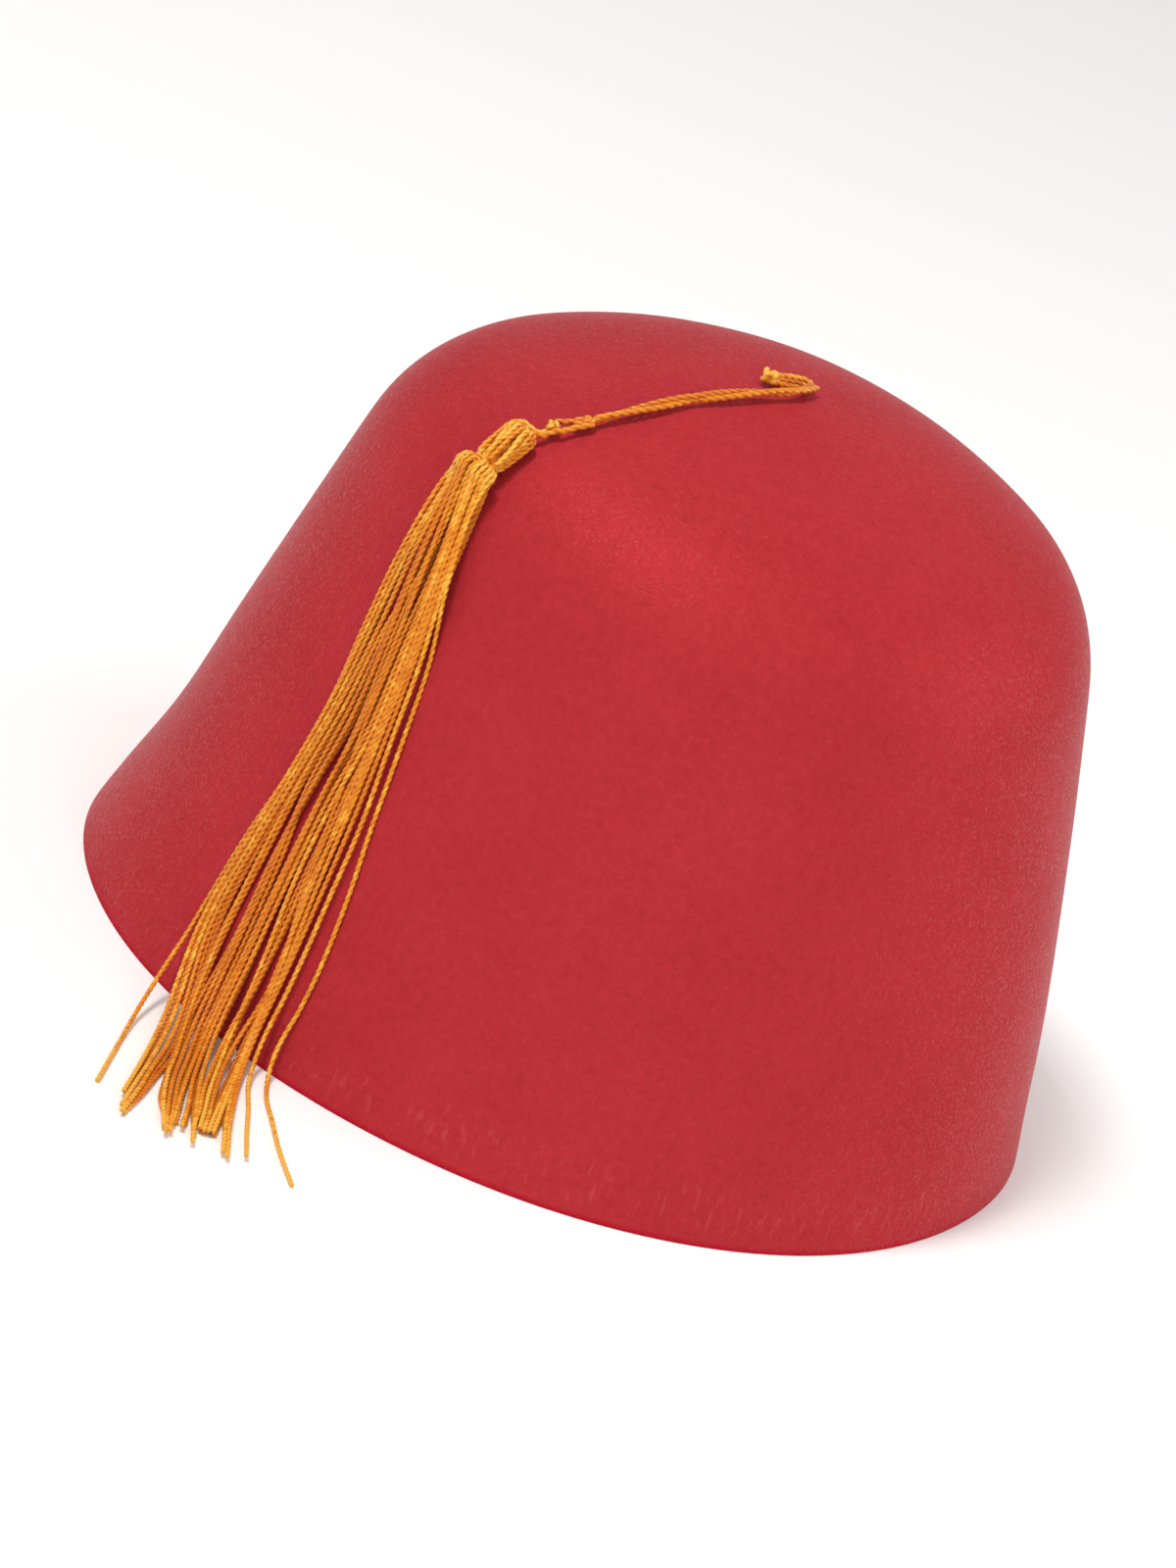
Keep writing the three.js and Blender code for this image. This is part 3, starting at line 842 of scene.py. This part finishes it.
# In each layer: how far a strand strays by chance on the wall and on the floor, how high the layer
# lies out on the floor, a strand's tones, and how far out from the skirt's middle its strands lie
# in turn, as a share of half its thickness.
UPPER_LAYER = dict(wander=0.2, loose=0.15, lift=0.9, tones=(0.2, 0.65), depths=(0.66, 1.0))
# The lower layer's darker tones are painted shade under the upper layer.
LOWER_LAYER = dict(wander=0.4, loose=0.6, lift=0.0, tones=(0.0, 0.3), depths=(-0.45, -0.9))
SHIFT_START, SHIFT_GROWTH = 0.3, 0.1   # a shifted strand moves over a little at each section
SKIRT_ROUNDNESS = 0.8   # how much thinner the skirt is at its sides than in its middle
WALL_SLOPE = 0.25       # how far forward the wall leads a strand for each millimetre down
BEND_STEPS = 6
TIP_SHIFT = 0.5         # a tip takes up only this share of its strand's shift
TIP_SINK = 0.95
TIP_ROOM = 4.0          # no floor row is closer to the tip than this
LEAVING_PULL, ARRIVING_PULL = 0.8, 0.5
NECK_STRETCH = 4.0      # the stretch inside the neck where a strand is squeezed thin

# Where each strand of the upper layer runs: on the wall, its place across from the middle line
# at each section, then its x at each floor row, and the x and y of its tip.
UPPER_STRANDS = [
    dict(wall=[-4.3, -6.1, -6.5, -7.3, -8.8, -11.9, -14.3],
         floor=[-68.7, -68.8, -69.0], tip=(-68.9, -113.5)),
    dict(wall=[-3.7, -5.0, -5.4, -6.2, -7.8, -10.6, -12.6],
         floor=[-63.5, -63.4, -64.1], tip=(-63.9, -115.2)),
    dict(wall=[-3.1, -4.0, -4.4, -5.0, -6.9, -9.3, -11.0],
         floor=[-62.3, -62.3, -62.9], tip=(-63.1, -120.5)),
    dict(wall=[-2.5, -2.2, -2.6, -3.8, -6.0, -8.0, -9.8],
         floor=[-61.1, -61.3, -61.6], tip=(-62.6, -122.4)),
    dict(wall=[0.3, 1.3, -1.4, -2.6, -4.5, -5.8, -6.8],
         floor=[-59.0, -59.4, -58.3], tip=(-55.0, -121.6)),
    dict(wall=[-1.4, -0.2, 0.4, 0.3, -1.5, -2.6, -3.3],
         floor=[-57.8, -58.0, -56.9], tip=(-54.2, -123.8)),
    dict(wall=[-1.9, -1.1, -0.6, -1.0, -2.6, -1.9, -2.4],
         floor=[-56.7, -56.9, -55.6], tip=(-53.7, -122.6)),
    dict(wall=[-0.3, 1.9, 2.3, 2.8, 1.4, 0.8, 0.1],
         floor=[-55.6, -55.4, -54.5], tip=(-53.9, -119.6)),
    dict(wall=[-0.9, 0.9, 1.3, 2.0, 1.6, 1.2, 0.8],
         floor=[-54.5, -54.2, -52.6], tip=(-52.2, -119.4)),
    dict(wall=[1.4, 4.2, 4.6, 4.9, 3.1, 2.8, 2.0],
         floor=[-53.4, -53.1, -51.6], tip=(-49.4, -123.4)),
    dict(wall=[0.9, 3.3, 3.0, 3.8, 5.2, 5.7, 5.2],
         floor=[-52.2, -52.0, -50.6], tip=(-50.4, -118.2)),
    dict(wall=[1.9, 4.6, 5.3, 5.8, 4.5, 4.0, 4.2],
         floor=[-51.2, -50.9, -49.6], tip=(-49.3, -117.6)),
    dict(wall=[2.4, 5.0, 5.7, 6.3, 6.3, 6.4, 7.9],
         floor=[-50.3, -49.8, -48.8], tip=(-48.5, -117.8)),
    dict(wall=[2.8, 5.3, 6.3, 6.7, 7.1, 7.5, 8.0],
         floor=[-48.2, -48.0, -47.9], tip=(-47.7, -117.4)),
    dict(wall=[3.2, 5.5, 6.5, 7.0, 7.5, 7.2, 8.4],
         floor=[-47.8, -47.5, -47.0], tip=(-46.9, -117.0)),
    dict(wall=[3.6, 5.8, 7.1, 7.7, 8.2, 8.7, 9.3],
         floor=[-47.3, -47.0, -46.2], tip=(-43.9, -122.8)),
    dict(wall=[3.9, 6.1, 7.6, 8.7, 9.6, 9.9, 9.7],
         floor=[-46.8, -46.4, -45.3], tip=(-42.9, -123.8)),
    dict(wall=[4.1, 6.4, 8.7, 10.2, 11.4, 12.0, 11.4],
         floor=[-45.2, -43.2, -41.8], tip=(-40.0, -120.8)),
    dict(wall=[4.3, 6.8, 9.4, 11.7, 13.4, 14.9, 15.0],
         floor=[-41.6, -39.0, -36.3], tip=(-30.8, -123.4)),
]
# The lower layer: the rows above that it lies under, how far it is shifted, and its length.
LOWER_STRANDS = [
    dict(row=1, shift=0.5, short=2.0),
    dict(row=3, shift=0.7, short=1.0), dict(row=3, shift=1.3, short=3.0),
    dict(row=4, shift=-0.6, short=4.0), dict(row=4, shift=0.4, short=6.0),
    dict(row=5, shift=-0.5, short=3.0),
    dict(row=6, shift=0.6, short=5.0), dict(row=7, shift=-0.5, short=1.5),
    dict(row=7, shift=0.5, short=3.5), dict(row=8, shift=0.5, short=2.5),
    dict(row=9, shift=-0.5, short=4.0),
    dict(row=10, shift=0.4, short=0.5), dict(row=11, shift=0.6, short=1.0),
    dict(row=12, shift=-0.4, short=0.6), dict(row=13, shift=-0.5, short=0.8),
    dict(row=14, shift=0.4, short=0.4), dict(row=15, shift=-0.4, short=5.5),
]
STRAY_ROWS = {0: 3, 18: 2}   # from which section on a stray strand lies on the felt alone


def across_felt(section, across, lift):
    """A place on the skirt: across from its middle line, and lifted off the felt."""
    point, _ = outline_at(section["down"], 0)
    azimuth = section["azimuth"] + math.degrees(across / point.x)
    return on_felt(azimuth, section["down"], lift)


def down_in_view(place):
    """How far down a place lies, seen from the camera's height."""
    return -place.y * math.sin(CAMERA_ELEVATION) - place.z * math.cos(CAMERA_ELEVATION)


def from_the_neck(row, depth):
    """Springing out below the bound neck to the strand's own place in the skirt."""
    neck = HEAD_TOP + HEAD_LINE * NECK_END
    half = max(abs(UPPER_STRANDS[0]["wall"][0]), abs(UPPER_STRANDS[-1]["wall"][0]))
    fan = UPPER_STRANDS[row]["wall"][0] / half
    height = math.sqrt(max(0.0, 1 - fan ** 2)) * depth
    tangent = -HEAD_SIDE if HEAD_SIDE.dot(Vector((1, 0, 0))) < 0 else HEAD_SIDE
    points = []
    for spring in NECK_ROWS:
        along = spring["along"] + chance.uniform(-NECK_WANDER, NECK_WANDER)
        points.append(neck + HEAD_LINE.normalized() * along + tangent * fan * spring["wide"]
                      + HEAD_OUT * height * spring["thick"])
    return points


def down_the_wall(row, layer, depth, shift):
    """A place at each section, within the skirt's thickness there."""
    stray_from = STRAY_ROWS.get(row, len(SKIRT_SECTIONS))
    points = []
    for index, section in enumerate(SKIRT_SECTIONS):
        row_places = [other["wall"][index] for other in UPPER_STRANDS[1:-1]]
        low, high = min(row_places), max(row_places)
        moved = shift * min(1.0, SHIFT_START + SHIFT_GROWTH * index)
        across = UPPER_STRANDS[row]["wall"][index] + moved
        fan = min(1.0, max(-1.0, (2 * across - low - high) / (high - low)))
        room = 0.0 if index >= stray_from else section["thick"] - 2 * STRAND_REST
        rise = 0.5 + 0.5 * depth * math.sqrt(max(0.0, 1 - SKIRT_ROUNDNESS * fan ** 2))
        wander = chance.uniform(-layer["wander"], layer["wander"])
        points.append(across_felt(section, across + wander, STRAND_REST + room * rise))
    return points


def over_the_floor(row, layer, shift, short, before, start):
    """Off the wall in one soft bend on to the floor, then out to the tip."""
    tip = UPPER_STRANDS[row]["tip"]
    floor_lift = STRAND_REST + (0.0 if row in STRAY_ROWS else layer["lift"])
    loose = layer["loose"]
    end = Vector((tip[0] + shift * TIP_SHIFT, tip[1] + short, floor_lift * TIP_SINK))
    rows = [Vector((x + shift + chance.uniform(-loose, loose), y, floor_lift))
            for x, y in zip(UPPER_STRANDS[row]["floor"], FLOOR_ROWS) if y > end.y + TIP_ROOM]
    for place in rows[1:]:
        share = (place.y - rows[0].y) / (end.y - rows[0].y)
        place.x += (rows[0].x + (end.x - rows[0].x) * share - place.x) * TIP_PULL
    drop = (start.z - floor_lift) * BEND_START
    leave = Vector((0, start.y - WALL_SLOPE * drop, start.z - drop))
    arrive = rows[0] + Vector((0, BEND_END, 0))
    bend = bezier_path(start, leave, arrive, rows[0], BEND_STEPS)
    # Sideways it runs evenly as seen from in front and above, so that it looks unbent.
    seen = [down_in_view(place) for place in (before, start, rows[0], end)]
    span = seen[2] - seen[1]
    leaving = (start.x - before.x) / (seen[1] - seen[0]) * span * LEAVING_PULL
    arriving = (end.x - rows[0].x) / (seen[3] - seen[2]) * span * ARRIVING_PULL
    for place in bend:
        t = (down_in_view(place) - seen[1]) / span
        place.x = (start.x * (2 * t ** 3 - 3 * t ** 2 + 1) + rows[0].x * (3 * t ** 2 - 2 * t ** 3)
                   + leaving * (t ** 3 - 2 * t ** 2 + t) + arriving * (t ** 3 - t ** 2))
    return bend + rows + [end]


def strand_route(row, layer, depth, shift=0.0, short=0.0):
    """From inside the bound neck, springing out to the skirt, down the wall and over the floor."""
    points = from_the_neck(row, depth) + down_the_wall(row, layer, depth, shift)
    return points + over_the_floor(row, layer, shift, short, points[-2], points[-1])


def make_skirt(material):
    rows = [dict(row=index, layer=UPPER_LAYER, depth=UPPER_LAYER["depths"][index % 2])
            for index in range(len(UPPER_STRANDS))]
    rows += [dict(layer=LOWER_LAYER, depth=LOWER_LAYER["depths"][index % 2], **row)
             for index, row in enumerate(LOWER_STRANDS)]
    strands = []
    for row in rows:
        path = smooth_path(strand_route(**row), PATH_STEP)
        tone = chance.uniform(*row["layer"]["tones"])
        strands.append(strand(path, tone, thin_start=NECK_STRETCH))
    names = ("tassel_skirt_left", "tassel_skirt_right", "tassel_skirt_under")
    third = math.ceil(len(strands) / len(names))
    for index, name in enumerate(names):
        skirt = join(strands[index * third:(index + 1) * third], name, material)
        finish_piece(skirt, "tassel_skirt")


make_skirt(RAYON)


# ---- Floor and light ------------------------------------------------------------------------

FLOOR_SIDE = 6.0
SKY_STRENGTH = 0.53
AIM_HEIGHT = 0.06
# Angles in degrees and lengths in metres, each light seen from the hat.
SOFTBOXES = [
    dict(name="softbox_top", azimuth=-52, elevation=66, distance=1.6, size=0.32, power=15),
    dict(name="softbox_front", azimuth=18, elevation=24, distance=2.2, size=1.4, power=11),
    dict(name="softbox_right", azimuth=105, elevation=18, distance=1.6, size=0.9, power=8),
]


def add_floor():
    deselect_all()
    bpy.ops.mesh.primitive_plane_add(size=FLOOR_SIDE)
    floor = bpy.context.object
    floor.name = "floor"
    material, _, shader = new_material("pale_paper", Roughness=0.9, Specular_IOR_Level=0.1)
    shader.inputs["Base Color"].default_value = linear("#FBFAF8")
    floor.data.materials.append(material)


def add_softbox(name, azimuth, elevation, distance, size, power):
    """A square soft light that faces the hat, placed by its direction from it."""
    light = bpy.data.lights.new(name, "AREA")
    light.shape = "SQUARE"
    light.size = size
    light.energy = power
    lamp = bpy.data.objects.new(name, light)
    bpy.context.scene.collection.objects.link(lamp)
    turn, rise = math.radians(azimuth), math.radians(elevation)
    aim = Vector((0, 0, AIM_HEIGHT))
    away = Vector((math.sin(turn) * math.cos(rise), -math.cos(turn) * math.cos(rise),
                   math.sin(rise)))
    lamp.location = aim + away * distance
    lamp.rotation_euler = away.to_track_quat("Z", "Y").to_euler()


def add_light():
    world = bpy.data.worlds.new("studio")
    bpy.context.scene.world = world
    world.use_nodes = True
    sky = world.node_tree.nodes["Background"]
    sky.inputs["Color"].default_value = linear("#FFFFFF")
    sky.inputs["Strength"].default_value = SKY_STRENGTH
    for softbox in SOFTBOXES:
        add_softbox(**softbox)
    bpy.context.scene.view_settings.view_transform = "Standard"


add_floor()
add_light()
